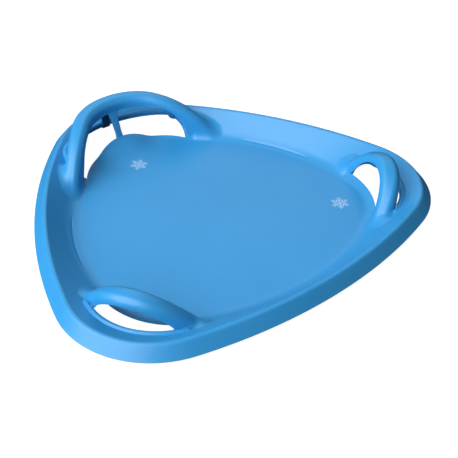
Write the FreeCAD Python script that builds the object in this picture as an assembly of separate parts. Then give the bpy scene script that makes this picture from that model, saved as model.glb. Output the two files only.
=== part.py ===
import FreeCAD, Part
import math, os

os.makedirs("parts", exist_ok=True)
Vec = FreeCAD.Vector

# A three-cornered saucer sled: a flat floor, a sloping wall, a rolled rim with a hanging skirt, and one
# arched handle over an opening at each corner. Lengths in millimetres, heights above the floor's top.
# The front corner points along +Y; the sled rests on the floor's flat underside at z = 0.

sheet = 3.0                     # moulded thickness of every shell

# Rim: outer edge of the skirt seen from above, a triangle of three corner arcs and three side arcs.
rim_reach = 380.0               # centre to the outer edge at a corner
rim_mid_share = 0.7816          # centre to the outer edge at the middle of a side, as a share of the reach
rim_corner_share = 0.4184       # radius of a corner's arc, as a share of the reach
rim_mid = rim_reach * rim_mid_share
rim_corner_radius = rim_reach * rim_corner_share
crest_height = 41.6
skirt_foot = 22.0               # height of the skirt's lower edge
skirt_run = 16.8                # sideways distance from the skirt's edge to the sharp crest
crest_round = 6.0               # outer radius of the rolled crest
crest_lean = 33.0               # slope in degrees at which the crest hands over to the wall

# Floor: outline at the foot of the wall, set in from the rim's outer edge.
wall_run = 108.5                # at a corner
wall_run_mid = 60.0             # at the middle of a side
floor_corner_share = 0.442      # radius of a corner's arc, as a share of the floor's reach
floor_reach = rim_reach - wall_run
floor_mid = rim_mid - wall_run_mid
floor_corner_radius = floor_reach * floor_corner_share

# Low mound in the floor under the front handle.
mound_inset = 75.0              # rim's outer edge to the mound's middle
mound_centre = rim_reach - mound_inset
mound_radius = 115.0
mound_rise = 24.0
mound_sink = 1.5                # how far the mound's foot lies below the floor's top

# Handles: channels that run along a plan arc about a point on the corner's axis and on along its tangent,
# while their crown falls away. Their plan sizes are shares of the rim's corner radius.
front_bar = dict(inset=81.0, plan_share=0.5975, turn=44.6, length_share=1.289, width=34.0, foot_width=25.0,
                 crown=89.0, rise=8.0, fall_power=3, tunnel_height=66.0, tunnel_flat_share=0.415,
                 tunnel_radius=43.0, tunnel_lean=66.0, arc_steps=8, leg_steps=9)
side_bar = dict(inset=93.0, plan_share=0.7044, turn=47.0, length_share=0.616, width=34.0, foot_width=27.0,
                crown=76.0, rise=7.0, fall_power=2, tunnel_height=61.0, tunnel_flat_share=0.025,
                tunnel_radius=66.0, tunnel_lean=58.0, arc_steps=13, leg_steps=2)
bar_end_share = 1.08            # how far a bar is carried past the point where its crown meets the floor
bar_draft = 1.5                 # sideways lean of each flange
bar_depth = 30.0                # depth of the blanks below the floor
crown_lean = 45.0               # slope in degrees at the edges of a bar's crown
crown_flats = 6
hollow_flats = 3
core_overrun = 12.0             # how much deeper than the bar its hollow is cut

# Openings under the bars: an arc on the inner side and one on the outer, each falling back towards its ends
# by a share of half the opening's width.
front_hole = dict(ahead=19.0, near_back_share=0.5, behind=5.0, far_back_share=0.427, half_share=0.761, end_round=9.0)
side_hole = dict(ahead=3.5, near_back_share=0.238, behind=-5.0, far_back_share=0.332, half_share=0.484, end_round=14.0)
collar_width = 9.0              # raised lip round the outside of each opening
collar_rise = 5.0

strut = dict(foot_set=3.0, foot_depth=8.0, foot_half=5.5, head_depth=9.0, head_half=9.5, overlap=7.0)
prop = dict(half=8.5, overlap=2.0)

corner_share = 60.0             # degrees from a corner's axis to the middle of a side
corners = 3
deep = 60.0                     # depth of the block that stands for everything below the sled's surface


def polar(distance, degrees, z):
    angle = math.radians(degrees)
    return Vec(distance * math.cos(angle), distance * math.sin(angle), z)


def triangle_arcs(reach, radius, mid):
    """Centres, radii and angles of the six tangent arcs of a rounded triangle."""
    corner_centre = reach - radius
    gap = mid - radius
    side_centre = (gap ** 2 - corner_centre ** 2) / (corner_centre - 2 * gap)
    half_side = math.degrees(math.atan2(corner_centre * math.sin(math.radians(corner_share)),
                                        corner_centre / 2 + side_centre))
    arcs = []
    for k in range(corners):
        axis = 90.0 + 2 * corner_share * k
        half = corner_share - half_side
        arcs.append((polar(corner_centre, axis, 0), radius, axis - half, axis + half))
        middle = axis + corner_share
        arcs.append((polar(-side_centre, middle, 0), mid + side_centre, middle - half_side, middle + half_side))
    return arcs


def triangle_wire(reach, radius, mid, z):
    edges = []
    for centre, r, start, end in triangle_arcs(reach, radius, mid):
        points = [centre + polar(r, a, z) for a in (start, (start + end) / 2, end)]
        edges.append(Part.Arc(*points).toShape())
    return Part.Wire(Part.sortEdges(edges)[0])


def rim_wire(offset, z):
    return triangle_wire(rim_reach + offset, rim_corner_radius + offset, rim_mid + offset, z)


def floor_wire(z):
    return triangle_wire(floor_reach, floor_corner_radius, floor_mid, z)


def prism(wire, height):
    return Part.Face(wire).extrude(Vec(0, 0, height))


def largest(shape):
    return max(shape.Solids, key=lambda solid: solid.Volume)


def crest_points():
    """Points of the rim's section as (offset from the outer edge, height)."""
    lean = math.atan2(crest_height - skirt_foot, skirt_run)
    back = math.radians(crest_lean)
    cz = crest_height - crest_round
    cx = ((skirt_foot - cz) * math.cos(lean) - crest_round) / math.sin(lean)
    inner = crest_round - sheet

    def on(radius, angle):
        return (cx + radius * math.sin(angle), cz + radius * math.cos(angle))

    middle = (lean - back) / 2
    joint = on(crest_round, -back)
    return dict(edge=(0.0, skirt_foot), edge_in=(-sheet / math.sin(lean), skirt_foot),
                out1=on(crest_round, lean), out2=on(crest_round, middle), out3=joint,
                in1=on(inner, lean), in2=on(inner, middle), in3=on(inner, -back),
                joint_low=(joint[0], joint[1] - sheet / math.cos(back)))


def rim_piece():
    """The rolled crest with its skirt, revolved about the centre of each arc of the outline."""
    p = crest_points()
    segments = []
    for centre, r, start, end in triangle_arcs(rim_reach, rim_corner_radius, rim_mid):
        def at(name):
            offset, height = p[name]
            return centre + polar(r + offset, start, sheet + height)
        edges = [Part.makeLine(at("edge"), at("out1")),
                 Part.Arc(at("out1"), at("out2"), at("out3")).toShape(),
                 Part.makeLine(at("out3"), at("joint_low")),
                 Part.makeLine(at("joint_low"), at("in3")),
                 Part.makeLine(at("in3"), at("in2")),
                 Part.makeLine(at("in2"), at("in1")),
                 Part.makeLine(at("in1"), at("edge_in")),
                 Part.makeLine(at("edge_in"), at("edge"))]
        face = Part.Face(Part.Wire(edges))
        segments.append(face.revolve(centre, Vec(0, 0, 1), end - start))
    return segments[0].fuse(segments[1:]).removeSplitter()


def mound(drop):
    """A low round mound, convex at the top and concave at its foot, lowered by drop."""
    height = mound_rise + mound_sink
    half = mound_radius / 2
    r = (half ** 2 + (height / 2) ** 2) / height
    lean = math.asin(half / r) / 2

    def at(distance, z):
        return Vec(0, mound_centre + distance, sheet + z - drop)

    top, middle, foot = at(0, mound_rise), at(half, mound_rise - height / 2), at(mound_radius, -mound_sink)
    crown = Part.Arc(top, at(r * math.sin(lean), mound_rise - r + r * math.cos(lean)), middle)
    skirt = Part.Arc(middle, at(mound_radius - r * math.sin(lean), r - r * math.cos(lean) - mound_sink), foot)
    low_foot = at(mound_radius, -deep)
    low_top = at(0, -deep)
    edges = [crown.toShape(), skirt.toShape(), Part.makeLine(foot, low_foot), Part.makeLine(low_foot, low_top),
             Part.makeLine(low_top, top)]
    return Part.Face(Part.Wire(edges)).revolve(Vec(0, mound_centre, 0), Vec(0, 0, 1), 360)


def bowl(drop):
    """The hollow of the sled above the floor and inside the wall; drop gives the underside's surface."""
    p = crest_points()
    offset, joint = p["out3"]
    low = p["joint_low"][1] if drop else joint
    space = Part.makeLoft([floor_wire(sheet - drop), rim_wire(offset, sheet + low)], True, True)
    if drop:
        space = space.fuse(prism(rim_wire(offset, sheet + low), joint - low))
    return space.cut(mound(drop))


def local(u, v, z):
    """A point of the front corner: u outward along the corner's axis, v to the left, z up."""
    return Vec(-v, u, sheet + z)


def near_edge(bar):
    """Distance of a bar's inner edge from the centre, on the corner's axis."""
    return rim_reach - bar["inset"]


def station(bar, along):
    """Place (u, v) of a bar's inner edge at a distance along it, and the outward direction there."""
    radius = bar["plan_share"] * rim_corner_radius
    turn = math.radians(bar["turn"])
    side = math.copysign(1, along)
    run = abs(along)
    angle = min(run / radius, turn)
    rest = max(run - turn * radius, 0)
    u = near_edge(bar) - radius + radius * math.cos(angle) - rest * math.sin(angle)
    v = radius * math.sin(angle) + rest * math.cos(angle)
    return u, side * v, math.cos(angle), side * math.sin(angle)


def crown_profile(flats):
    """Shares (across, up) of points on a crown's arc, from its inner to its outer edge."""
    edge = math.radians(crown_lean)
    points = []
    for i in range(flats + 1):
        angle = edge * (2 * i / flats - 1)
        across = (1 + math.sin(angle) / math.sin(edge)) / 2
        points.append((across, (math.cos(angle) - math.cos(edge)) / (1 - math.cos(edge))))
    return points


def section(bar, along, inset):
    """Section of a bar at a distance along it; inset draws its hollow."""
    u, v, nu, nv = station(bar, along)
    share = abs(along) / (bar["length_share"] * rim_corner_radius)
    width = bar["width"] + (bar["foot_width"] - bar["width"]) * min(share, 1) ** 2
    ridge = bar["crown"] * (1 - share ** bar["fall_power"]) - inset - bar["rise"]
    low = -bar_depth
    flats = crown_flats
    if inset:
        low -= core_overrun
        flats = hollow_flats
    near, far = inset + bar_draft, width - inset - bar_draft

    def at(w, z):
        return local(u + nu * w, v + nv * w, z)

    points = [at(width - inset, low), at(inset, low)]
    for across, up in crown_profile(flats):
        points.append(at(near + (far - near) * across, ridge + bar["rise"] * up))
    return Part.makePolygon(points + points[:1])


def blank(bar, inset):
    """A bar as one filled piece down to below the floor; inset gives its hollow."""
    arc = math.radians(bar["turn"]) * bar["plan_share"] * rim_corner_radius
    leg = bar["length_share"] * rim_corner_radius * bar_end_share - arc
    runs = [arc * i / bar["arc_steps"] for i in range(bar["arc_steps"] + 1)]
    runs += [arc + leg * (i + 1) / bar["leg_steps"] for i in range(bar["leg_steps"])]
    stations = [-run for run in runs[:0:-1]] + runs
    return Part.makeLoft([section(bar, along, inset) for along in stations], True, True)


def tunnel(bar):
    """The space under a bar, carried through along the corner's axis."""
    lean = math.radians(bar["tunnel_lean"])
    flat = bar["tunnel_flat_share"] * rim_corner_radius
    radius, height = bar["tunnel_radius"], bar["tunnel_height"]

    def on(angle, side):
        return local(0, side * (flat + radius * math.sin(angle)), height - radius * (1 - math.cos(angle)))

    fallen = radius * (1 - math.cos(lean))
    foot = flat + radius * math.sin(lean) + (height - fallen + bar_depth) / math.tan(lean)
    right_foot, left_foot = local(0, -foot, -bar_depth), local(0, foot, -bar_depth)
    edges = [Part.makeLine(left_foot, right_foot),
             Part.makeLine(right_foot, on(lean, -1)),
             Part.Arc(on(lean, -1), on(lean / 2, -1), on(0, -1)).toShape(),
             Part.makeLine(on(0, -1), on(0, 1)),
             Part.Arc(on(0, 1), on(lean / 2, 1), on(lean, 1)).toShape(),
             Part.makeLine(on(lean, 1), left_foot)]
    return Part.Face(Part.Wire(edges)).extrude(Vec(0, rim_reach, 0))


def hole_wire(hole, bar, grow):
    """Plan of the opening under a bar; grow widens it on its outer side for the lip."""
    near = near_edge(bar) - hole["ahead"]
    far = near_edge(bar) + bar["width"] - hole["behind"] + grow
    half = hole["half_share"] * rim_corner_radius + grow
    inner_half = half - hole["end_round"]
    near_end = near - hole["near_back_share"] * inner_half
    far_end = far - hole["far_back_share"] * inner_half
    middle = (near_end + far_end) / 2

    def at(u, v):
        return local(u, v, -deep)

    edges = [Part.Arc(at(near_end, -inner_half), at(near, 0), at(near_end, inner_half)).toShape(),
             Part.Arc(at(near_end, inner_half), at(middle, half), at(far_end, inner_half)).toShape(),
             Part.Arc(at(far_end, inner_half), at(far, 0), at(far_end, -inner_half)).toShape(),
             Part.Arc(at(far_end, -inner_half), at(middle, -half), at(near_end, -inner_half)).toShape()]
    return Part.Wire(edges)


def post(foot, head, low, top):
    """A straight post with flat sides; foot and head each hold its near side, its far side and half its width."""
    corners = []
    for (near, far, half), z in ((foot, low), (head, top)):
        corners.append([local(near, -half, z), local(near, half, z), local(far, half, z), local(far, -half, z)])
    below, above = corners
    faces = [Part.makePolygon(below + below[:1]), Part.makePolygon(above + above[:1])]
    for i in range(len(below)):
        j = (i + 1) % len(below)
        faces.append(Part.makePolygon([below[i], below[j], above[j], above[i], below[i]]))
    return Part.Solid(Part.Shell([Part.Face(wire) for wire in faces]))


def turned(shape, k):
    copy = shape.copy()
    copy.rotate(Vec(0, 0, 0), Vec(0, 0, 1), 2 * corner_share * k)
    return copy


def write(shape, name):
    shape.exportStep("parts/" + name + ".step")
    print(name, shape.isValid(), len(shape.Solids), round(shape.Volume / 1000, 1), "cm3")


def strut_piece(ground, handle):
    """The slanted post from the opening's inner border up to the front bar's inner face."""
    edge = near_edge(front_bar)
    near = edge - front_hole["ahead"] - strut["foot_set"]
    top = front_bar["tunnel_height"] + strut["overlap"]
    foot = (near, near + strut["foot_depth"], strut["foot_half"])
    head = (edge - strut["head_depth"], edge + bar_draft, strut["head_half"])
    return post(foot, head, 0, top).cut([ground, handle])


def prop_piece(ground, handle, lip):
    """The plate under the front bar's outer flange, down to the wall."""
    far = near_edge(front_bar) + front_bar["width"]
    top = front_bar["tunnel_height"] + prop["overlap"]
    plan = (far - sheet, far, prop["half"])
    return post(plan, plan, 0, top).cut([ground, handle, lip])


def build():
    outline_offset, joint = crest_points()["out3"]
    hollow = bowl(0)
    block = prism(rim_wire(outline_offset, sheet - deep), deep + joint)
    ground = block.cut(hollow)
    shell = bowl(sheet).cut(hollow)
    lifted = ground.copy()
    lifted.translate(Vec(0, 0, collar_rise))

    tools = []
    pieces = {}
    for bar, hole, places in ((front_bar, front_hole, {"front": 0}), (side_bar, side_hole, {"left": 1, "right": 2})):
        whole = blank(bar, 0)
        core = blank(bar, sheet)
        skin = whole.cut([core, tunnel(bar)])
        opening = prism(hole_wire(hole, bar, 0), deep * 2)
        around = prism(hole_wire(hole, bar, collar_width), deep * 2)
        band = around.cut([opening, whole])
        for place, k in places.items():
            pieces[place + "_handle"] = largest(turned(skin, k).cut(ground))
            pieces[place + "_well_lip"] = largest(lifted.cut(ground).common(turned(band, k)))
            tools += [turned(opening, k), turned(core, k)]
    pan = shell.cut(tools)
    inside = prism(floor_wire(-deep), deep * 2 + crest_height)
    pieces["floor_pan"] = largest(pan.common(inside))
    pieces["pan_wall"] = largest(pan.cut(inside))
    pieces["rim_skirt"] = rim_piece()
    front, lip = pieces["front_handle"], pieces["front_well_lip"]
    pieces["front_handle_strut"] = largest(strut_piece(ground, front))
    pieces["front_handle_prop"] = largest(prop_piece(ground, front, lip))
    for name, shape in pieces.items():
        write(shape, name)


build()
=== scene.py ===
import math

import bmesh
import bpy
import numpy as np
from mathutils import Matrix, Vector


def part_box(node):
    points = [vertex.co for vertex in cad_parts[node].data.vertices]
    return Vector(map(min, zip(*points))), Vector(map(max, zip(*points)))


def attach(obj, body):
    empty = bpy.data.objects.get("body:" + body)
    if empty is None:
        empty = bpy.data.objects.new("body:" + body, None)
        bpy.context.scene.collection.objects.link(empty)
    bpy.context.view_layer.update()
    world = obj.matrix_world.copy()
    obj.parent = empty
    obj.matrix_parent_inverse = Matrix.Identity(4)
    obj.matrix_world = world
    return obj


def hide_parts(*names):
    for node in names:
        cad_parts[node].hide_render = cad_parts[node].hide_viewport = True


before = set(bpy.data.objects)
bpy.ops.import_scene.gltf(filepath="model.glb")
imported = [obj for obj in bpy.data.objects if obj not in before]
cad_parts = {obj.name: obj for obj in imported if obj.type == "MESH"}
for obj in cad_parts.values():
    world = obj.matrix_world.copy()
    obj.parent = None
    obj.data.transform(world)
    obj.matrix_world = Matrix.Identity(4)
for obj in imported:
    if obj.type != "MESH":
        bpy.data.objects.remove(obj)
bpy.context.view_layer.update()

mm = 0.001

# Lengths are in millimetres and angles in degrees, as in the part's source; meshOf turns them into metres.
# u runs outward along a corner's axis, v to its left, z up from the top of the floor.

print("stage 1: sizes and the moulded surface")

pan = {
    "sheet": 3.0, "wallDrop": 0.58,    # thickness, and how much deeper the underside lies below the slope
    "reach": 380.0, "mid": 297.0, "cornerRound": 159.0,    # the rim at a corner and at a side's middle
    "floorReach": 271.5, "floorMid": 237.0, "floorCornerRound": 120.0,
    "crest": 41.6, "crestRound": 6.0, "crestLean": 33.0,
    "skirtFoot": 22.0, "skirtRun": 16.8, "skirtTip": 0.9, "tipOuter": 0.7, "tipInner": 0.5,    # shares of the tip
    "foldSoftness": 9.5, "foldChange": 6.0,    # how gently the wall leaves the floor, least at the corners
    "around": 600, "floorRings": 26, "edgeRings": 9, "edgeShare": 0.95, "wallRings": 46,
    "crestRings": 9, "skirtRings": 4, "smoothAngle": 32.0,
}
crease = {    # pressed in along the floor's edge on both sides
    "depth": 2.1, "half": 1.5, "offset": 0.5, "angle": 20.5, "spread": 17.0,
}
mound = {"centre": 305.0, "reach": 115.0, "rise": 24.0, "sink": 1.5, "fall": 0.08, "softness": 4.0}


def cornerAxis(corner):
    # corner 0 is the front one, 1 the left one, 2 the right one
    return 90.0 + 120.0 * corner


def arcsOf(reach, cornerRound, mid):
    # the six tangent arcs of a rounded triangle: centre, radius, first and last angle
    cornerCentre = reach - cornerRound
    gap = mid - cornerRound
    sideCentre = (gap ** 2 - cornerCentre ** 2) / (cornerCentre - 2 * gap)
    halfSide = math.degrees(math.atan2(cornerCentre * math.sin(math.radians(60)), cornerCentre / 2 + sideCentre))
    halfCorner = 60.0 - halfSide
    arcs = []
    for corner in range(3):
        axis = cornerAxis(corner)
        c, m = math.radians(axis), math.radians(axis + 60)
        arcs.append(((cornerCentre * math.cos(c), cornerCentre * math.sin(c)), cornerRound,
                     axis - halfCorner, axis + halfCorner))
        arcs.append(((-sideCentre * math.cos(m), -sideCentre * math.sin(m)), mid + sideCentre,
                     axis + 60 - halfSide, axis + 60 + halfSide))
    return arcs


class Outline:
    # a rounded triangle as the distance from the middle at any angle
    def __init__(self, reach, cornerRound, mid):
        angles, distances = [], []
        arcPoints = 400
        for (cx, cy), r, start, end in arcsOf(reach, cornerRound, mid):
            t = np.radians(np.linspace(start, end, arcPoints))
            x, y = cx + r * np.cos(t), cy + r * np.sin(t)
            angles.append(np.arctan2(y, x))
            distances.append(np.hypot(x, y))
        angles, distances = np.concatenate(angles), np.concatenate(distances)
        order = np.argsort(angles)
        self.angles, self.distances = angles[order], distances[order]

    def __call__(self, angle):
        wrapped = np.arctan2(np.sin(angle), np.cos(angle))
        return np.interp(wrapped, self.angles, self.distances, period=2 * np.pi)


def rimOutline(offset):
    return Outline(pan["reach"] + offset, pan["cornerRound"] + offset, pan["mid"] + offset)


skirtLean = math.atan2(pan["crest"] - pan["skirtFoot"], pan["skirtRun"])
crestBack = math.radians(pan["crestLean"])


def rollPoint(radius, angle):
    # a point of the rolled crest as (offset from the outer edge, height)
    z = pan["crest"] - pan["crestRound"]
    x = ((pan["skirtFoot"] - z) * math.cos(skirtLean) - pan["crestRound"]) / math.sin(skirtLean)
    return x + radius * math.sin(angle), z + radius * math.cos(angle)


joinOffset, joinHeight = rollPoint(pan["crestRound"], -crestBack)    # where the wall runs into the crest
floorEdge = Outline(pan["floorReach"], pan["floorCornerRound"], pan["floorMid"])
wallTop = rimOutline(joinOffset)


def smoothStep(t):
    t = np.clip(t, 0, 1)
    return t * t * (3 - 2 * t)


def smoothMax(a, b, k):
    h = np.maximum(k - np.abs(a - b), 0) / k
    return np.maximum(a, b) + h * h * k / 4


def moundHeight(x, y):
    # a crown and a skirt of the same radius, then a slight fall away under the floor
    height = mound["rise"] + mound["sink"]
    half = mound["reach"] / 2
    r = (half ** 2 + (height / 2) ** 2) / height
    d = np.hypot(x, y - mound["centre"])
    crown = mound["rise"] - r + np.sqrt(np.maximum(r * r - d * d, 0))
    skirt = r - np.sqrt(np.maximum(r * r - (mound["reach"] - d) ** 2, 0)) - mound["sink"]
    beyond = -mound["sink"] - (d - mound["reach"]) * mound["fall"]
    return np.where(d < half, crown, np.where(d < mound["reach"], skirt, beyond))


def groundHeight(x, y):
    # the top of the pan above the floor: floor, wall and mound run softly into each other
    x, y = np.asarray(x, float), np.asarray(y, float)
    angle = np.arctan2(y, x)
    distance = np.hypot(x, y)
    inner = floorEdge(angle)
    wall = (distance - inner) / (wallTop(angle) - inner) * joinHeight
    softness = pan["foldSoftness"] - pan["foldChange"] * np.cos(3 * (angle - math.pi / 2))
    surface = smoothMax(np.zeros_like(wall), wall, softness)
    for side in (0.0, 180.0):
        middle = abs(side - crease["angle"])
        along = (np.degrees(np.abs(angle)) - middle) / crease["spread"]
        taper = np.where((np.abs(along) < 1) & (y > 0), 1 - along ** 2, 0)
        across = (distance - inner - crease["offset"]) / crease["half"]
        surface = surface - crease["depth"] * taper * np.exp(-across ** 2)
    return smoothMax(surface, moundHeight(x, y), mound["softness"])


def groundSlope(x, y):
    # cosine of the ground's steepness
    step = 0.5
    dx = (groundHeight(x + step, y) - groundHeight(x - step, y)) / (2 * step)
    dy = (groundHeight(x, y + step) - groundHeight(x, y - step)) / (2 * step)
    return 1 / np.sqrt(1 + dx * dx + dy * dy)


def placed(corner, u, v, z=0.0):
    a = math.radians(cornerAxis(corner))
    u, v, z = np.broadcast_arrays(np.asarray(u, float), np.asarray(v, float), np.asarray(z, float))
    return np.stack([u * math.cos(a) - v * math.sin(a), u * math.sin(a) + v * math.cos(a), z], -1)


def groundUnder(corner, u, v):
    x, y, _ = placed(corner, u, v).T
    return groundHeight(x, y)


def meshOf(name, points, faces, mergeDistance=0.0):
    mesh = bpy.data.meshes.new(name)
    mesh.from_pydata(((np.asarray(points, float) + (0, 0, pan["sheet"])) * mm).tolist(), [], faces)
    work = bmesh.new()
    work.from_mesh(mesh)
    if mergeDistance:
        bmesh.ops.remove_doubles(work, verts=work.verts, dist=mergeDistance)
        bmesh.ops.dissolve_degenerate(work, edges=work.edges, dist=mergeDistance / 2)
    bmesh.ops.recalc_face_normals(work, faces=work.faces)
    work.to_mesh(mesh)
    work.free()
    return mesh


def newObject(name, data):
    made = bpy.data.objects.new(name, data)
    bpy.context.scene.collection.objects.link(made)
    return made


def newPiece(name, points, faces, replaced, smoothAngle):
    mesh = meshOf(name, points, faces, mergeDistance=0.02 * mm)
    mesh.shade_smooth()
    mesh.set_sharp_from_angle(angle=math.radians(smoothAngle))
    piece = newObject(name, mesh)
    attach(piece, "root")
    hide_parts(*replaced)
    return piece


def tubeFaces(rings, size, capped=False):
    # quads between neighbouring rings of equal size, each ring a closed loop
    faces = []
    for i in range(rings - 1):
        a, b = i * size, (i + 1) * size
        faces += [(a + j, a + (j + 1) % size, b + (j + 1) % size, b + j) for j in range(size)]
    if capped:
        last = (rings - 1) * size
        faces += [tuple(range(size - 1, -1, -1)), tuple(range(last, last + size))]
    return faces


print("stage 2: openings, bars and lips in plan")

frontHole = {"near": 280.0, "nearBack": 0.5, "far": 328.0, "farBack": 0.427, "half": 121.0, "endRound": 9.0}
sideHole = {"near": 283.5, "nearBack": 0.238, "far": 326.0, "farBack": 0.332, "half": 77.0, "endRound": 14.0}


def bulgeRound(half, bulge):
    # radius of the arc that stands over a chord of twice the half by the bulge
    return (half ** 2 + bulge ** 2) / (2 * bulge)


def holeArcs(hole):
    # radius of the inner and of the outer border, then the middle, centre and radius of the round ends
    inner = hole["half"] - hole["endRound"]
    nearBulge, farBulge = hole["nearBack"] * inner, hole["farBack"] * inner
    nearEnd, farEnd = hole["near"] - nearBulge, hole["far"] - farBulge
    endRound = bulgeRound((farEnd - nearEnd) / 2, hole["endRound"])
    return (bulgeRound(inner, nearBulge), bulgeRound(inner, farBulge), (nearEnd + farEnd) / 2,
            hole["half"] - endRound, endRound)


def holeDistance(hole, u, v):
    # how far a point lies outside an opening, below nothing inside it, and how much nearer the outer border is
    blend, ease = 9.0, 8.0    # the round ends take over gradually, which keeps the lip free of a notch
    nearRound, farRound, middle, centre, endRound = holeArcs(hole)
    across = np.abs(v)
    beforeNear = nearRound - np.hypot(u - hole["near"] + nearRound, v)
    beyondFar = np.hypot(u - hole["far"] + farRound, v) - farRound
    pastInner = (across - hole["half"] + hole["endRound"]) / blend
    beyondEnd = np.hypot(u - middle, across - centre) - endRound - ease * (1 - smoothStep(pastInner))
    beyondEnd = np.where(pastInner > 0, beyondEnd, -hole["half"])
    return np.maximum(np.maximum(beforeNear, beyondFar), beyondEnd), beyondFar - beforeNear


def arcThrough(p, q, r, count):
    # points of the arc from p over q to r in the plane
    (ax, ay), (bx, by), (cx, cy) = p, q, r
    a, b, c = ax * ax + ay * ay, bx * bx + by * by, cx * cx + cy * cy
    d = 2 * (ax * (by - cy) + bx * (cy - ay) + cx * (ay - by))
    ux = (a * (by - cy) + b * (cy - ay) + c * (ay - by)) / d
    uy = (a * (cx - bx) + b * (ax - cx) + c * (bx - ax)) / d
    radius = math.hypot(ax - ux, ay - uy)
    start, middle, end = (math.atan2(y - uy, x - ux) for x, y in (p, q, r))
    middle = start + math.remainder(middle - start, 2 * math.pi)
    end = middle + math.remainder(end - middle, 2 * math.pi)
    t = np.linspace(start, end, count)
    return np.stack([ux + radius * np.cos(t), uy + radius * np.sin(t)], -1)


def holeLoop(hole):
    # an opening's outline in (u, v): inner border, one end, outer border, other end
    borderPoints, endPoints = 90, 22
    half = hole["half"]
    inner = half - hole["endRound"]
    nearEnd = hole["near"] - hole["nearBack"] * inner
    farEnd = hole["far"] - hole["farBack"] * inner
    middle = (nearEnd + farEnd) / 2
    sides = (arcThrough((nearEnd, -inner), (hole["near"], 0), (nearEnd, inner), borderPoints),
             arcThrough((nearEnd, inner), (middle, half), (farEnd, inner), endPoints),
             arcThrough((farEnd, inner), (hole["far"], 0), (farEnd, -inner), borderPoints),
             arcThrough((farEnd, -inner), (middle, -half), (nearEnd, -inner), endPoints))
    return np.concatenate([side[:-1] for side in sides])


frontBar = {
    "edge": 299.0, "planRound": 95.0, "turn": 44.6, "length": 205.0, "width": 34.0, "footWidth": 25.0,
    "crown": 89.0, "fallPower": 3, "crownRound": 11.0, "crownBulge": 2.5,
    "tunnelHeight": 66.0, "tunnelFlat": 66.0, "tunnelRound": 43.0, "tunnelLean": 66.0,
    "innerPinch": 1.0, "outerPinch": 1.0,    # above 1 the tunnel ends earlier
    "innerSoftness": 13.0, "outerSoftness": 20.0, "stations": 181,
}
sideBar = {
    "edge": 287.0, "planRound": 112.0, "turn": 47.0, "length": 98.0, "width": 34.0, "footWidth": 27.0,
    "crown": 76.0, "fallPower": 2, "crownRound": 11.0, "crownBulge": 2.0,
    "tunnelHeight": 61.0, "tunnelFlat": 4.0, "tunnelRound": 66.0, "tunnelLean": 58.0,
    "innerPinch": 1.1, "outerPinch": 0.97,
    "innerSoftness": 13.0, "outerSoftness": 20.0, "stations": 141,
}


def barStation(bar, along):
    # inner edge of a bar at a distance along it, the outward direction there, its width and its crown's height
    radius = bar["planRound"]
    turn = math.radians(bar["turn"])
    side = np.sign(along) + (along == 0)
    run = np.abs(along)
    angle = np.minimum(run / radius, turn)
    rest = np.maximum(run - turn * radius, 0)
    u = bar["edge"] - radius + radius * np.cos(angle) - rest * np.sin(angle)
    v = radius * np.sin(angle) + rest * np.cos(angle)
    share = run / bar["length"]
    width = bar["width"] + (bar["footWidth"] - bar["width"]) * np.minimum(share, 1) ** 2
    crown = bar["crown"] * (1 - share ** bar["fallPower"])
    return u, side * v, np.cos(angle), side * np.sin(angle), width, crown


def tunnelHeight(bar, v, outward):
    # height of the space under a bar's inner or outer flank at a distance from the corner's axis
    lean = math.radians(bar["tunnelLean"])
    r = bar["tunnelRound"]
    run = np.abs(v) * bar["outerPinch" if outward > 0 else "innerPinch"] - bar["tunnelFlat"]
    reach = r * math.sin(lean)
    arc = bar["tunnelHeight"] - r + np.sqrt(np.maximum(r * r - np.clip(run, 0, reach) ** 2, 0))
    return arc - np.maximum(run - reach, 0) * math.tan(lean)


lip = {
    "width": 11.0, "rise": 5.0, "top": 3.5, "round": 2.0, "fade": 20.0, "pastEnd": 32.0,
    "overhang": 0.05, "sink": 0.12, "root": 9.0, "buried": 1.5,    # how it sits on the pan and over its edge
    "step": 1.2, "roundSteps": 6, "slopeSteps": 14, "turnSpread": 7, "smoothAngle": 50.0,
}


def lipHeight(hole, u, v):
    # raised ring along the outer border of an opening, which dies away behind its round ends
    d, outward = holeDistance(hole, u, v)
    fall = 0.5 + 0.5 * np.cos(np.pi * np.clip((d - lip["top"]) / (lip["width"] - lip["top"]), 0, 1))
    return lip["rise"] * fall * smoothStep(outward / lip["fade"] + 0.5)


print("stage 3: the pan")


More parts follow.
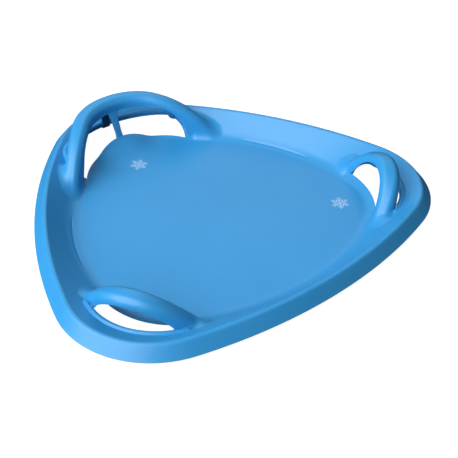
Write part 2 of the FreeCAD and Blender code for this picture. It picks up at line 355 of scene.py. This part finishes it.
def makePan():
    count = pan["around"]
    angle = np.linspace(0, 2 * np.pi, count, endpoint=False)
    inner, outer = floorEdge(angle), wallTop(angle)
    rings = []

    def addGround(distance, drop):
        x, y = distance * np.cos(angle), distance * np.sin(angle)
        rings.append(np.stack([x, y, groundHeight(x, y) - drop], -1))

    def addRim(offset, height):
        distance = rimOutline(offset)(angle)
        rings.append(np.stack([distance * np.cos(angle), distance * np.sin(angle), np.full(count, height)], -1))

    def addBetween(p, q, t):
        addRim(p[0] + (q[0] - p[0]) * t, p[1] + (q[1] - p[1]) * t)

    # the top, from the middle out over floor, wall and crest
    floorSteps = [pan["edgeShare"] * (i + 1) / pan["floorRings"] for i in range(pan["floorRings"])]
    floorSteps += [1 - (1 - pan["edgeShare"]) * (1 - (i + 1) / pan["edgeRings"]) for i in range(pan["edgeRings"])]
    wallSteps = [(i + 1) / pan["wallRings"] for i in range(pan["wallRings"])]
    crestSteps = [(crestBack + skirtLean) * i / (pan["crestRings"] - 1) for i in range(1, pan["crestRings"])]
    for t in floorSteps:
        addGround(inner * t, 0.0)
    for t in wallSteps:
        addGround(inner + (outer - inner) * t, 0.0)
    for t in crestSteps:
        addRim(*rollPoint(pan["crestRound"], -crestBack + t))

    # down the skirt, round its tip and up its inner side
    tip = pan["skirtTip"]
    innerRound = pan["crestRound"] - pan["sheet"]
    outRoll, inRoll = rollPoint(pan["crestRound"], skirtLean), rollPoint(innerRound, skirtLean)
    edge = (0.0, pan["skirtFoot"])
    edgeIn = (-pan["sheet"] / math.sin(skirtLean), pan["skirtFoot"])
    for i in range(1, pan["skirtRings"]):
        addBetween(outRoll, edge, i / pan["skirtRings"])
    run = (edge[0] - outRoll[0], edge[1] - outRoll[1])
    runLength = math.hypot(*run)
    addRim(edge[0] - run[0] / runLength * tip, edge[1] - run[1] / runLength * tip)
    addRim(edge[0] - tip * pan["tipOuter"], edge[1])
    addRim(edgeIn[0] + tip * pan["tipInner"], edgeIn[1])
    for i in range(pan["skirtRings"]):
        addBetween(edgeIn, inRoll, (i + 1) / pan["skirtRings"])

    # the underside, back to the middle
    for t in crestSteps:
        addRim(*rollPoint(innerRound, skirtLean - t))
    for t in reversed(wallSteps[1::2]):
        addGround(inner + (outer - inner) * t, pan["sheet"] + pan["wallDrop"] * t)
    for t in reversed(floorSteps[1::2]):
        addGround(inner * t, pan["sheet"])

    points = np.concatenate(rings + [[(0, 0, 0.0), (0, 0, -pan["sheet"])]])
    faces = tubeFaces(len(rings), count)
    topCentre, lowCentre = len(points) - 2, len(points) - 1
    lastRing = (len(rings) - 1) * count
    for j in range(count):
        n = (j + 1) % count
        faces.append((topCentre, n, j))
        faces.append((lowCentre, lastRing + j, lastRing + n))
    return newPiece("sledPan", points, faces, ["floor_pan", "pan_wall", "rim_skirt"], pan["smoothAngle"])


legHollow = {
    "inset": 1.9, "fromHole": 4.0, "closed": 1.0, "crownRoom": 6.0,    # what is left round the hollow
    "firstShare": 0.3, "step": 1.0, "points": 24,
}
cutterLow, cutterHigh = -30.0, 60.0


def legSlot(bar, corner, hole, side):
    # plan of the hollow under a leg, from beside the opening to where the crown comes down
    inset = pan["sheet"] + legHollow["inset"]

    def usable(along):
        # clear of the opening, and no longer open below either flank
        u, v, nu, nv, width, _ = barStation(bar, along)
        clear = min(holeDistance(hole, u + nu * x, v + nv * x)[0] for x in (inset, width / 2, width - inset))
        free = max(tunnelHeight(bar, v + nv * x, outward) - groundUnder(corner, u + nu * x, v + nv * x)
                   for outward, x in ((-1, 0.0), (1, width)))
        return clear >= legHollow["fromHole"] and free <= -legHollow["closed"]

    def crownRoom(along):
        u, v, nu, nv, width, crown = barStation(bar, along)
        return crown - groundUnder(corner, u + nu * width / 2, v + nv * width / 2)

    start = bar["length"] * legHollow["firstShare"]
    while not usable(start):
        start += legHollow["step"]
    end = start
    while crownRoom(end + legHollow["step"]) > legHollow["crownRoom"]:
        end += legHollow["step"]
    u, v, nu, nv, width, _ = barStation(bar, side * np.linspace(start, end, legHollow["points"]))
    near = np.stack([u + nu * inset, v + nv * inset], -1)
    far = np.stack([u + nu * (width - inset), v + nv * (width - inset)], -1)
    return np.concatenate([near, far[::-1]])


def newCutter(corner, loop):
    # a straight-sided block over a plan loop in (u, v)
    size = len(loop)
    low, high = (placed(corner, loop[:, 0], loop[:, 1], z) for z in (cutterLow, cutterHigh))
    faces = [tuple(range(size)), tuple(range(2 * size - 1, size - 1, -1))]
    faces += [(j, (j + 1) % size, size + (j + 1) % size, size + j) for j in range(size)]
    return newObject("cutter", meshOf("cutter", np.concatenate([low, high]), faces))


def cutPan(piece):
    for corner, bar, hole in ((0, frontBar, frontHole), (1, sideBar, sideHole), (2, sideBar, sideHole)):
        for loop in (holeLoop(hole), legSlot(bar, corner, hole, 1), legSlot(bar, corner, hole, -1)):
            cutter = newCutter(corner, loop)
            cut = piece.modifiers.new("opening", "BOOLEAN")
            cut.operation = "DIFFERENCE"
            cut.solver = "EXACT"
            cut.object = cutter
            bpy.context.view_layer.update()
            done = bpy.data.meshes.new_from_object(piece.evaluated_get(bpy.context.evaluated_depsgraph_get()))
            piece.modifiers.clear()
            piece.data = done
            bpy.data.objects.remove(cutter)
    piece.data.name = "sledPan"
    piece.data.set_sharp_from_angle(angle=math.radians(pan["smoothAngle"]))


sledPan = makePan()
cutPan(sledPan)
print("  pan faces", len(sledPan.data.polygons))

print("stage 4: the handles")

barSkin = {
    "reachShare": 1.3, "flankRings": 22, "crownRings": 19, "ceilingRings": 13, "shoulderShare": 0.24,
    "sink": 0.3, "flankRoot": 1.6, "holeRoot": 6.0, "ceilingRoot": 2.4,    # how deep the skin goes into the pan
    "holeRun": 2.0,    # the run over an opening's border in which the deeper root comes in
    "leastSoftness": 0.3, "besideHole": 1.1, "closedRun": 14.0,    # where the soft foot comes in
    "ceilingRound": 11.0, "ceilingPower": 0.8, "footFlat": 0.5, "searchRoom": 6.0, "touch": 0.0005,
    "topSteps": 20, "sideSteps": 18, "seen": 0.02, "smoothAngle": 60.0,
}


def barDistance(bar, x, z, width, crown, steepness):
    # distance in one section from the skin of a bar: straight flanks and a rounded, slightly bulging crown
    half = width / 2
    across = np.abs(x - half)
    top = crown - bar["crownBulge"] * (across / half) ** 2
    r = np.minimum(bar["crownRound"], half - barSkin["footFlat"])
    qx = across - half + r
    qz = (z - top) * steepness + r
    outside = np.hypot(np.maximum(qx, 0), np.maximum(qz, 0))
    return np.minimum(np.maximum(qx, qz), 0) + outside - r


def lastInside(isInside, low, high, steps):
    # bisection on the way from low, which is inside, to high, at all stations at once
    for _ in range(steps):
        middle = (low + high) / 2
        inside = isInside(middle)
        low, high = np.where(inside, middle, low), np.where(inside, high, middle)
    return low


def makeBar(bar, corner, hole, name, node):
    # x runs across the bar from its inner edge; every value below is an array with one number for each station
    along = bar["length"] * barSkin["reachShare"] * np.linspace(-1, 1, bar["stations"])
    u, v, nu, nv, width, crown = barStation(bar, along)
    steepness = 1 / np.sqrt(1 + np.gradient(crown, along) ** 2)
    sink = barSkin["sink"]

    def planAt(x):
        return u + nu * x, v + nv * x

    def ground(x):
        return groundUnder(corner, *planAt(x)) + lipHeight(hole, *planAt(x))

    def softness(full, x, outward):
        # the soft corner at a bar's foot ends where the opening or the hollow is open beside it
        beside = smoothStep(holeDistance(hole, *planAt(x))[0] / (barSkin["besideHole"] * full))
        closed = smoothStep((ground(x) - tunnelHeight(bar, planAt(x)[1], outward)) / barSkin["closedRun"])
        return np.maximum(full * beside * closed, barSkin["leastSoftness"])

    middleSlope = groundSlope(*placed(corner, *planAt(width / 2)).T[:2])
    innerSoft, outerSoft = softness(bar["innerSoftness"], 0.0, -1), softness(bar["outerSoftness"], width, 1)

    def union(x, height):
        # below nothing inside the bar or the ground, with a soft corner where they meet
        a = barDistance(bar, x, ground(x) + height, width, crown, steepness)
        b = height * middleSlope
        k = innerSoft + (outerSoft - innerSoft) * smoothStep(x / width)
        h = np.maximum(k - np.abs(a - b), 0) / k
        return np.minimum(a, b) - h * h * k / 4

    def topAt(x):
        highest = np.full_like(width, bar["crown"] + bar["outerSoftness"])
        return lastInside(lambda z: union(x, z) < 0, np.zeros_like(width), highest, barSkin["topSteps"])

    def sideAt(shoulder, outward, height):
        furthest = shoulder + outward * (width / 2 + bar["outerSoftness"] + barSkin["searchRoom"])
        return lastInside(lambda x: union(x, height) < -barSkin["touch"], shoulder, furthest, barSkin["sideSteps"])

    def flank(outward):
        # points (x, z) from the lowest of the outside up to the shoulder, and the lower edge from outside to inside
        shoulder = width * (0.5 + outward * (0.5 - barSkin["shoulderShare"]))
        top = topAt(shoulder)
        edge = width * (0.5 + outward * 0.5)
        under = tunnelHeight(bar, planAt(edge)[1], outward)
        lowest = np.minimum(np.maximum(under - ground(edge), 0), top)
        rise = []
        for i in range(barSkin["flankRings"] + 1):
            t = i / barSkin["flankRings"]
            height = lowest + (top - lowest) * t * t
            x = sideAt(shoulder, outward, height) if t < 1 else shoulder
            rise.append((x, ground(x) + height - sink))
        outside, inside = rise[0][0], edge - outward * pan["sheet"]
        root, run = barSkin["flankRoot"], barSkin["holeRun"]
        overHole = 1 - smoothStep((holeDistance(hole, *planAt(outside))[0] + run / 2) / run)
        lower = [(outside, np.maximum(under, ground(outside) - root - barSkin["holeRoot"] * overHole) - sink),
                 (inside, np.maximum(under, ground(inside) - barSkin["ceilingRoot"]) - sink)]
        return rise, lower

    innerRise, innerLower = flank(-1)
    outerRise, outerLower = flank(1)
    top, ceiling = [], []
    for i in range(1, barSkin["crownRings"]):
        x = width * (barSkin["shoulderShare"] + (1 - 2 * barSkin["shoulderShare"]) * i / barSkin["crownRings"])
        top.append((x, ground(x) + topAt(x) - sink))
    for i in range(barSkin["ceilingRings"]):
        b = math.pi * i / (barSkin["ceilingRings"] - 1)
        r, power = barSkin["ceilingRound"], barSkin["ceilingPower"]
        x = width / 2 + (width / 2 - pan["sheet"]) * math.copysign(abs(math.cos(b)) ** power, math.cos(b))
        z = crown - pan["sheet"] - r + r * math.sin(b) ** power
        ceiling.append((x, np.maximum(z, ground(x) - barSkin["ceilingRoot"]) - sink))
    section = innerRise + top + outerRise[::-1] + outerLower + ceiling + innerLower[::-1]
    columns = [np.stack([*placed(corner, *planAt(x)).T[:2], z], -1) for x, z in section]
    shown = np.flatnonzero(topAt(width / 2) > barSkin["seen"])
    first, final = max(shown[0] - 1, 0), min(shown[-1] + 1, len(along) - 1)
    points = np.stack(columns, 1)[first:final + 1]
    faces = tubeFaces(len(points), len(columns), capped=True)
    return newPiece(name, points.reshape(-1, 3), faces, [node], barSkin["smoothAngle"])


frontHandle = makeBar(frontBar, 0, frontHole, "frontHandle", "front_handle")
leftHandle = makeBar(sideBar, 1, sideHole, "leftHandle", "left_handle")
rightHandle = makeBar(sideBar, 2, sideHole, "rightHandle", "right_handle")

print("stage 5: the lips round the openings")


def lipPath(hole):
    # the outer border of an opening and its round ends at even steps, with the directions away from the opening
    _, farRound, middle, centre, endRound = holeArcs(hole)
    inner = hole["half"] - hole["endRound"]
    borderPoints, endPoints = 300, 200
    t = np.linspace(0, math.asin(inner / farRound), borderPoints)
    first = math.atan2(inner - centre, hole["far"] - hole["farBack"] * inner - middle)
    s = np.linspace(first, math.pi / 2 + math.radians(lip["pastEnd"]), endPoints)[1:]
    u = np.concatenate([hole["far"] - farRound + farRound * np.cos(t), middle + endRound * np.cos(s)])
    v = np.concatenate([farRound * np.sin(t), centre + endRound * np.sin(s)])
    turn = np.concatenate([t, s])
    u, v, turn = (np.concatenate([sign * a[:0:-1], a]) for sign, a in ((1, u), (-1, v), (-1, turn)))
    along = np.concatenate([[0], np.cumsum(np.hypot(np.diff(u), np.diff(v)))])
    even = np.linspace(0, along[-1], int(along[-1] / lip["step"]))
    u, v, turn = (np.interp(even, along, a) for a in (u, v, turn))
    spread = lip["turnSpread"]
    padded = np.concatenate([np.full(spread, turn[0]), turn, np.full(spread, turn[-1])])
    return u, v, np.convolve(padded, np.ones(2 * spread + 1) / (2 * spread + 1), "valid")


def makeLip(hole, corner, name, node):
    u, v, turn = lipPath(hole)
    columns = []

    def add(d, lower):
        pu, pv = u + d * np.cos(turn), v + d * np.sin(turn)
        x, y, _ = placed(corner, pu, pv).T
        rise = np.maximum(lipHeight(hole, pu, pv) - lower, -lip["buried"])
        columns.append(np.stack([x, y, groundHeight(x, y) + rise - lip["sink"]], -1))

    add(-lip["overhang"], lip["root"])
    for i in range(lip["roundSteps"] + 1):
        b = math.pi / 2 * i / lip["roundSteps"]
        add(lip["round"] * (1 - math.cos(b)) - lip["overhang"], lip["round"] * (1 - math.sin(b)))
    for i in range(1, lip["slopeSteps"] + 1):
        add(lip["round"] + (lip["width"] - lip["round"]) * i / lip["slopeSteps"], 0)
    add(lip["width"], lip["root"])
    faces = tubeFaces(len(u), len(columns), capped=True)
    return newPiece(name, np.stack(columns, 1).reshape(-1, 3), faces, [node], lip["smoothAngle"])


frontLip = makeLip(frontHole, 0, "frontWellLip", "front_well_lip")
leftLip = makeLip(sideHole, 1, "leftWellLip", "left_well_lip")
rightLip = makeLip(sideHole, 2, "rightWellLip", "right_well_lip")

print("stage 6: the supports of the front handle")

strut = {
    "footNear": 277.5, "footFar": 285.5, "footHalf": 5.5, "footFlare": 1.6, "footRun": 0.22,
    "headNear": 299.2, "headFar": 302.6, "headHalf": 8.6, "headFlare": 2.6, "headRun": 0.2,
    "headHeight": 66.0, "seat": 3.0, "flareDepth": 0.4, "corner": 3.4, "around": 40, "rings": 22,
    "smoothAngle": 55.0,
}
prop = {
    "overLip": 2.4, "drop": 7.5,    # it also covers the lip's inner face, so its painted shade reaches down to the opening's edge
    "corner": 5.0, "around": 40, "rings": 8, "smoothAngle": 45.0,
}


def blockRing(half, depth, corner, count):
    # a block's section with rounded corners, as points of a superellipse round its middle
    t = np.linspace(0, 2 * np.pi, count, endpoint=False)
    c, s = np.cos(t), np.sin(t)
    return np.sign(c) * np.abs(c) ** (2 / corner) * depth / 2, np.sign(s) * np.abs(s) ** (2 / corner) * half


def makeStrut():
    foot = float(groundUnder(0, strut["footNear"], 0.0))
    rings = []
    for i in range(strut["rings"] + 1):
        t = i / strut["rings"]
        z = foot - strut["seat"] + (strut["headHeight"] + strut["seat"] - foot) * t
        near = strut["footNear"] + (strut["headNear"] - strut["footNear"]) * t
        far = strut["footFar"] + (strut["headFar"] - strut["footFar"]) * t
        flare = float(strut["footFlare"] * (1 - smoothStep(t / strut["footRun"]))
                      + strut["headFlare"] * smoothStep((t - 1 + strut["headRun"]) / strut["headRun"]))
        half = strut["footHalf"] + (strut["headHalf"] - strut["footHalf"]) * t + flare
        du, dv = blockRing(half, far - near + strut["flareDepth"] * flare, strut["corner"], strut["around"])
        rings.append(placed(0, (near + far) / 2 + du, dv, z))
    faces = tubeFaces(len(rings), strut["around"], capped=True)
    return newPiece("frontHandleStrut", np.concatenate(rings), faces, ["front_handle_strut"], strut["smoothAngle"])


def makeProp():
    # the web between the outer flange and the lip, in the place that its solid gives; its dark colour is painted
    # shade
    low, high = (np.array(c) / mm - (0, 0, pan["sheet"]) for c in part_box("front_handle_prop"))
    low = low - (0, prop["overLip"], prop["drop"])
    middle, size = (low + high) / 2, high - low
    ahead, aside = blockRing(size[0] / 2, size[1], prop["corner"], prop["around"])
    rings = [np.stack([middle[0] + aside, middle[1] + ahead, np.full(len(ahead), z)], -1)
             for z in np.linspace(low[2], high[2], prop["rings"] + 1)]
    faces = tubeFaces(len(rings), prop["around"], capped=True)
    return newPiece("frontHandleProp", np.concatenate(rings), faces, ["front_handle_prop"], prop["smoothAngle"])


handleStrut = makeStrut()
handleProp = makeProp()

print("stage 7: the moulded plastic")


class Socket:
    # a shader socket that takes part in Python expressions
    def __init__(self, look, socket):
        self.look, self.socket = look, socket

    def math(self, operation, *others):
        return self.look.maths(operation, self, *others)

    def __add__(self, other):
        return self.look.maths("ADD", self, other)

    def __radd__(self, other):
        return self.look.maths("ADD", other, self)

    def __sub__(self, other):
        return self.look.maths("SUBTRACT", self, other)

    def __mul__(self, other):
        return self.look.maths("MULTIPLY", self, other)

    def __truediv__(self, other):
        return self.look.maths("DIVIDE", self, other)


class Shader:
    # the node tree of a material or of the world, with the shader at its end
    def __init__(self, owner, last):
        owner.use_nodes = True
        self.owner, self.tree = owner, owner.node_tree
        self.last = self.tree.nodes[last]

    def feed(self, target, values):
        for key, value in values.items():
            if isinstance(value, Socket):
                self.tree.links.new(value.socket, target.inputs[key])
            else:
                target.inputs[key].default_value = value

    def node(self, kind, settings, inputs, output=0):
        made = self.tree.nodes.new(kind)
        for key, value in settings.items():
            setattr(made, key, value)
        self.feed(made, inputs)
        return Socket(self, made.outputs[output])

    def finish(self, values):
        self.feed(self.last, values)
        return self.owner

    def maths(self, operation, *values):
        return self.node("ShaderNodeMath", {"operation": operation}, dict(enumerate(values)))

    def mix(self, share, a, b):
        return self.node("ShaderNodeMix", {"data_type": "RGBA"}, {0: share, 6: a, 7: b}, 2)    # its colour sockets

    def noise(self, place, scale, detail, roughness=0.5):
        return self.node("ShaderNodeTexNoise", {}, {"Vector": place, "Scale": scale, "Detail": detail,
                                                    "Roughness": roughness})

    def fit(self, value, low, high):
        return self.node("ShaderNodeMapRange", {"interpolation_type": "SMOOTHSTEP"}, {0: value, 1: low, 2: high})

    def axes(self, place):
        split = self.node("ShaderNodeSeparateXYZ", {}, {0: place}).socket.node
        return [Socket(self, output) for output in split.outputs]


plastic = {
    "base": (0.028, 0.276, 0.610, 1.0), "light": (0.029, 0.284, 0.622, 1.0), "deep": (0.026, 0.264, 0.590, 1.0),
    "worn": (0.060, 0.330, 0.660, 1.0), "fineShare": 0.35, "wornShare": 0.16,
    "paintedShadeColour": (0.010, 0.050, 0.150, 1.0), "paintedShadeShare": 0.75,    # painted shade: dark navy mixed into the web's colour, standing in for the handle's shadow over it
    "broadNoise": (4.4, 2.0), "fineNoise": (44.0, 5.0), "scuffNoise": (160.0, 6.0, 0.7),    # scale, detail, roughness
    "grainNoise": (1 / 0.0006, 2.0),    # grains of 0.6 mm
    "broadRange": (0.3, 0.7), "fineRange": (0.35, 0.65), "scuffRange": (0.45, 0.75),
    "grainDepth": 0.00006, "fineDepth": 0.00015, "scratchDepth": 0.00003,
    "roughness": 0.36, "scuffRoughness": 0.10, "grainRoughness": 0.06, "scratchRoughness": 0.10,
    "specular": 0.5, "refraction": 1.5,
}
scratches = {    # long, faint, and only here and there
    "turn": 0.6, "stretch": (9.0, 150.0, 60.0), "noise": (6.0, 4.0, 0.6),
    "range": (0.69, 0.74), "whereRange": (0.45, 0.65),
}
mark = {    # two pale snowflakes printed on the floor
    "places": ((-0.0113, 0.2035, 0.35), (0.1903, -0.1191, 0.1)),    # middle in metres, and turn
    "size": 0.017, "line": 0.055, "softLine": 0.25, "softEnd": 0.02, "twigs": ((0.34, 0.30), (0.62, 0.24)),
    "twigLean": 60.0, "colour": (0.42, 0.62, 0.86, 1.0), "cover": 0.62, "scuffCover": 0.2, "scuffRange": (0.35, 0.7),
    "sheetShares": (0.4, 0.7),    # it begins between these heights in the sheet, so the underside stays bare
}


def snowflake(look, place, x, y, turn):
    # 1 on the lines of a six-armed snowflake round a point of the floor, 0 beside them
    right, ahead, high = look.axes(place)
    dx, dy = (right - x) / mark["size"], (ahead - y) / mark["size"]
    reach = (dx * dx + dy * dy).math("SQRT")
    folded = (dy.math("ARCTAN2", dx) + (turn + 2 * math.pi)).math("PINGPONG", math.pi / 6)
    along, across = reach * folded.math("COSINE"), reach * folded.math("SINE")

    def near(distance):
        return look.fit(distance, mark["line"] * (1 + mark["softLine"]), mark["line"] * (1 - mark["softLine"]))

    def upTo(distance, length):
        return look.fit(distance, length + mark["softEnd"], length - mark["softEnd"])

    lines = near(across) * upTo(along, 1)
    lean = math.radians(mark["twigLean"])
    for start, length in mark["twigs"]:
        offset = (along - start) * math.sin(lean) - across * math.cos(lean)
        lines = lines.math("MAXIMUM", near(offset.math("ABSOLUTE")) * upTo(across, length))
    return lines * look.fit(high, *(share * pan["sheet"] * mm for share in mark["sheetShares"]))


def makePlastic(name, withPaintedShade=False, marked=False):
    look = Shader(bpy.data.materials.new(name), "Principled BSDF")
    place = look.node("ShaderNodeTexCoord", {}, {}, "Object")
    broad, fine, grain, scuff = (look.noise(place, *plastic[kind])
                                 for kind in ("broadNoise", "fineNoise", "grainNoise", "scuffNoise"))
    stretched = look.node("ShaderNodeMapping", {}, {
        "Vector": place, "Rotation": (0.0, 0.0, scratches["turn"]), "Scale": scratches["stretch"]})
    scratch = look.fit(look.noise(stretched, *scratches["noise"]), *scratches["range"])
    scratch = scratch * look.fit(broad, *scratches["whereRange"])
    tone = look.mix(look.fit(broad, *plastic["broadRange"]), plastic["deep"], plastic["light"])
    tone = look.mix(look.fit(fine, *plastic["fineRange"]) * plastic["fineShare"], tone, plastic["base"])
    tone = look.mix(scratch * plastic["wornShare"], tone, plastic["worn"])
    # painted shade: the tone is pulled most of the way to dark navy, standing in for the shadow under the handle
    if withPaintedShade:
        tone = look.mix(plastic["paintedShadeShare"], tone, plastic["paintedShadeColour"])
    if marked:
        first, second = (snowflake(look, place, *spot) for spot in mark["places"])
        cover = mark["cover"] + look.fit(scuff, *mark["scuffRange"]) * mark["scuffCover"]
        tone = look.mix((first + second) * cover, tone, mark["colour"])
    rough = (plastic["roughness"] + look.fit(scuff, *plastic["scuffRange"]) * plastic["scuffRoughness"]
             + (grain - 0.5) * plastic["grainRoughness"] + scratch * plastic["scratchRoughness"])
    relief = grain * plastic["grainDepth"] + fine * plastic["fineDepth"] - scratch * plastic["scratchDepth"]
    bump = look.node("ShaderNodeBump", {}, {"Strength": 1.0, "Distance": 1.0, "Height": relief})
    return look.finish({"Base Color": tone, "Roughness": rough, "Normal": bump,
                        "Specular IOR Level": plastic["specular"], "IOR": plastic["refraction"]})


def dress(material, *pieces):
    for piece in pieces:
        piece.data.materials.clear()
        piece.data.materials.append(material)


dress(makePlastic("satinBluePlastic"), frontHandle, leftHandle, rightHandle, frontLip, leftLip, rightLip, handleStrut)
dress(makePlastic("printedBluePlastic", marked=True), sledPan)
# the web gets a copy of the plastic darkened with painted shade
dress(makePlastic("paintedShadeBluePlastic", withPaintedShade=True), handleProp)

print("stage 8: floor, light and camera")

studio = {    # metres and watts
    "floorColour": (0.25, 0.25, 0.25, 1.0), "floorGlow": 0.95, "floorRoughness": 0.9,
    "floorFlat": 6.0, "floorBend": 3.0, "wallHeight": 14.0, "around": 96, "bendRings": 13,
    "skyFrom": -0.15, "skyTo": 0.45, "skyLow": 0.03, "skyHigh": 0.17,
}
keyLight = {"size": 4.5, "power": 205.0, "turn": 176.0, "rise": 42.0, "distance": 3.1}
backLight = {"size": 2.5, "power": 12.0, "turn": 51.0, "rise": 38.0, "distance": 3.2}
cameraView = {
    "place": (-0.68284, -0.87046, 0.83201), "azimuth": -39.616, "elevation": 37.987, "lens": 63.30,
    "sensor": 36.0, "far": 50.0,
}
white = (1.0, 1.0, 1.0, 1.0)


def makeFloor():
    # a flat floor that curves up into a wall all round, far behind the sled
    flat, bend, around = studio["floorFlat"], studio["floorBend"], studio["around"]
    profile = [(flat / 2, 0.0)] + [(flat + bend * math.sin(t), bend - bend * math.cos(t))
                                   for t in np.linspace(0, math.pi / 2, studio["bendRings"])]
    profile.append((flat + bend, studio["wallHeight"]))
    turns = [2 * math.pi * j / around for j in range(around)]
    places = [(0.0, 0.0, 0.0)] + [(r * math.cos(a), r * math.sin(a), z) for r, z in profile for a in turns]
    faces = []
    for j in range(around):
        n = (j + 1) % around
        faces.append((0, 1 + j, 1 + n))
        for i in range(len(profile) - 1):
            low, high = 1 + i * around, 1 + (i + 1) * around
            faces.append((low + j, high + j, high + n, low + n))
    mesh = bpy.data.meshes.new("studioFloor")
    mesh.from_pydata(places, [], faces)
    mesh.shade_smooth()
    look = Shader(bpy.data.materials.new("paleFloor"), "Principled BSDF")
    mesh.materials.append(look.finish({"Base Color": studio["floorColour"], "Roughness": studio["floorRoughness"],
                                       "Emission Color": white, "Emission Strength": studio["floorGlow"]}))
    floor = newObject("studioFloor", mesh)
    floor.visible_diffuse = floor.visible_glossy = floor.visible_shadow = False    # its glow stays off the plastic


def areaLight(name, values):
    turn, rise = math.radians(values["turn"]), math.radians(values["rise"])
    toward = Vector((math.cos(turn) * math.cos(rise), math.sin(turn) * math.cos(rise), math.sin(rise)))
    data = bpy.data.lights.new(name, "AREA")
    data.shape = "DISK"
    data.size = values["size"]
    data.energy = values["power"]
    light = newObject(name, data)
    light.location = toward * values["distance"]
    light.rotation_mode = "QUATERNION"
    light.rotation_quaternion = (-toward).to_track_quat("-Z", "Y")


def makeWorld():
    # a soft sky, dim below the horizon
    look = Shader(bpy.data.worlds.new("studio"), "Background")
    height = look.axes(look.node("ShaderNodeTexCoord", {}, {}, "Generated"))[2]
    glow = look.node("ShaderNodeMapRange", {}, {0: height, 1: studio["skyFrom"], 2: studio["skyTo"],
                                                3: studio["skyLow"], 4: studio["skyHigh"]})
    bpy.context.scene.world = look.finish({"Color": white, "Strength": glow})


def makeCamera():
    azimuth, elevation = math.radians(cameraView["azimuth"]), math.radians(cameraView["elevation"])
    back = Vector((math.sin(azimuth) * math.cos(elevation), -math.cos(azimuth) * math.cos(elevation),
                   math.sin(elevation)))
    right = Vector((math.cos(azimuth), math.sin(azimuth), 0))
    data = bpy.data.cameras.new("camera")
    data.lens = cameraView["lens"]
    data.sensor_width = cameraView["sensor"]
    data.clip_end = cameraView["far"]
    camera = newObject("camera", data)
    turned = Matrix((right, back.cross(right), back)).transposed().to_4x4()
    camera.matrix_world = Matrix.Translation(Vector(cameraView["place"])) @ turned
    bpy.context.scene.camera = camera


makeFloor()
areaLight("keyLight", keyLight)
areaLight("backLight", backLight)
makeWorld()
makeCamera()
bpy.context.scene.view_settings.view_transform = "Standard"
